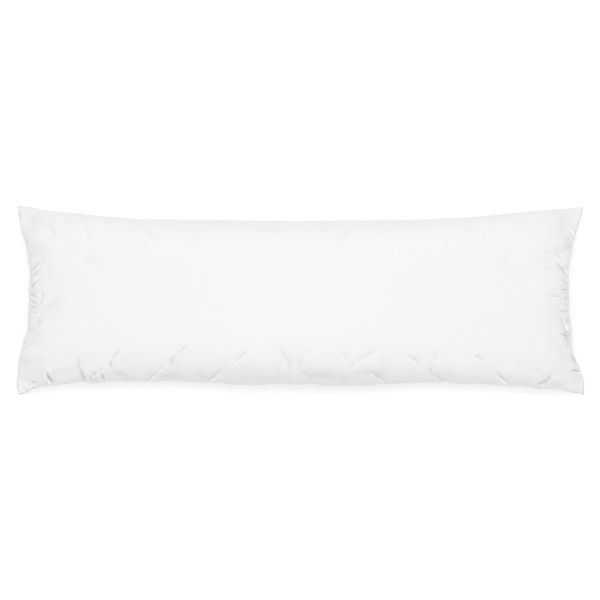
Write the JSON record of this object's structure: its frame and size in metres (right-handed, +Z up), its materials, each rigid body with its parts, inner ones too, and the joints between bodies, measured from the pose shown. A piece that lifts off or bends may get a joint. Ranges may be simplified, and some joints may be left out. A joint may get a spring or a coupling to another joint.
{
  "type": "body pillow",
  "caption": "Long filled body pillow with a swollen face, seams drawn in between pointed ears, puckered ends and soft folds along the front seam.",
  "frame": {"origin": "under the middle of the pillow, on the surface it rests on", "axes": "+X along the pillow's length, +Y across it towards the back long seam, +Z up through the face"},
  "size_m": [1.3272, 0.444, 0.195],
  "materials": {
    "cover_cloth": "plain woven white cotton, matt"
  },
  "bodies": {
    "root": {"pillow": "cover_cloth"}
  },
  "joints": []
}
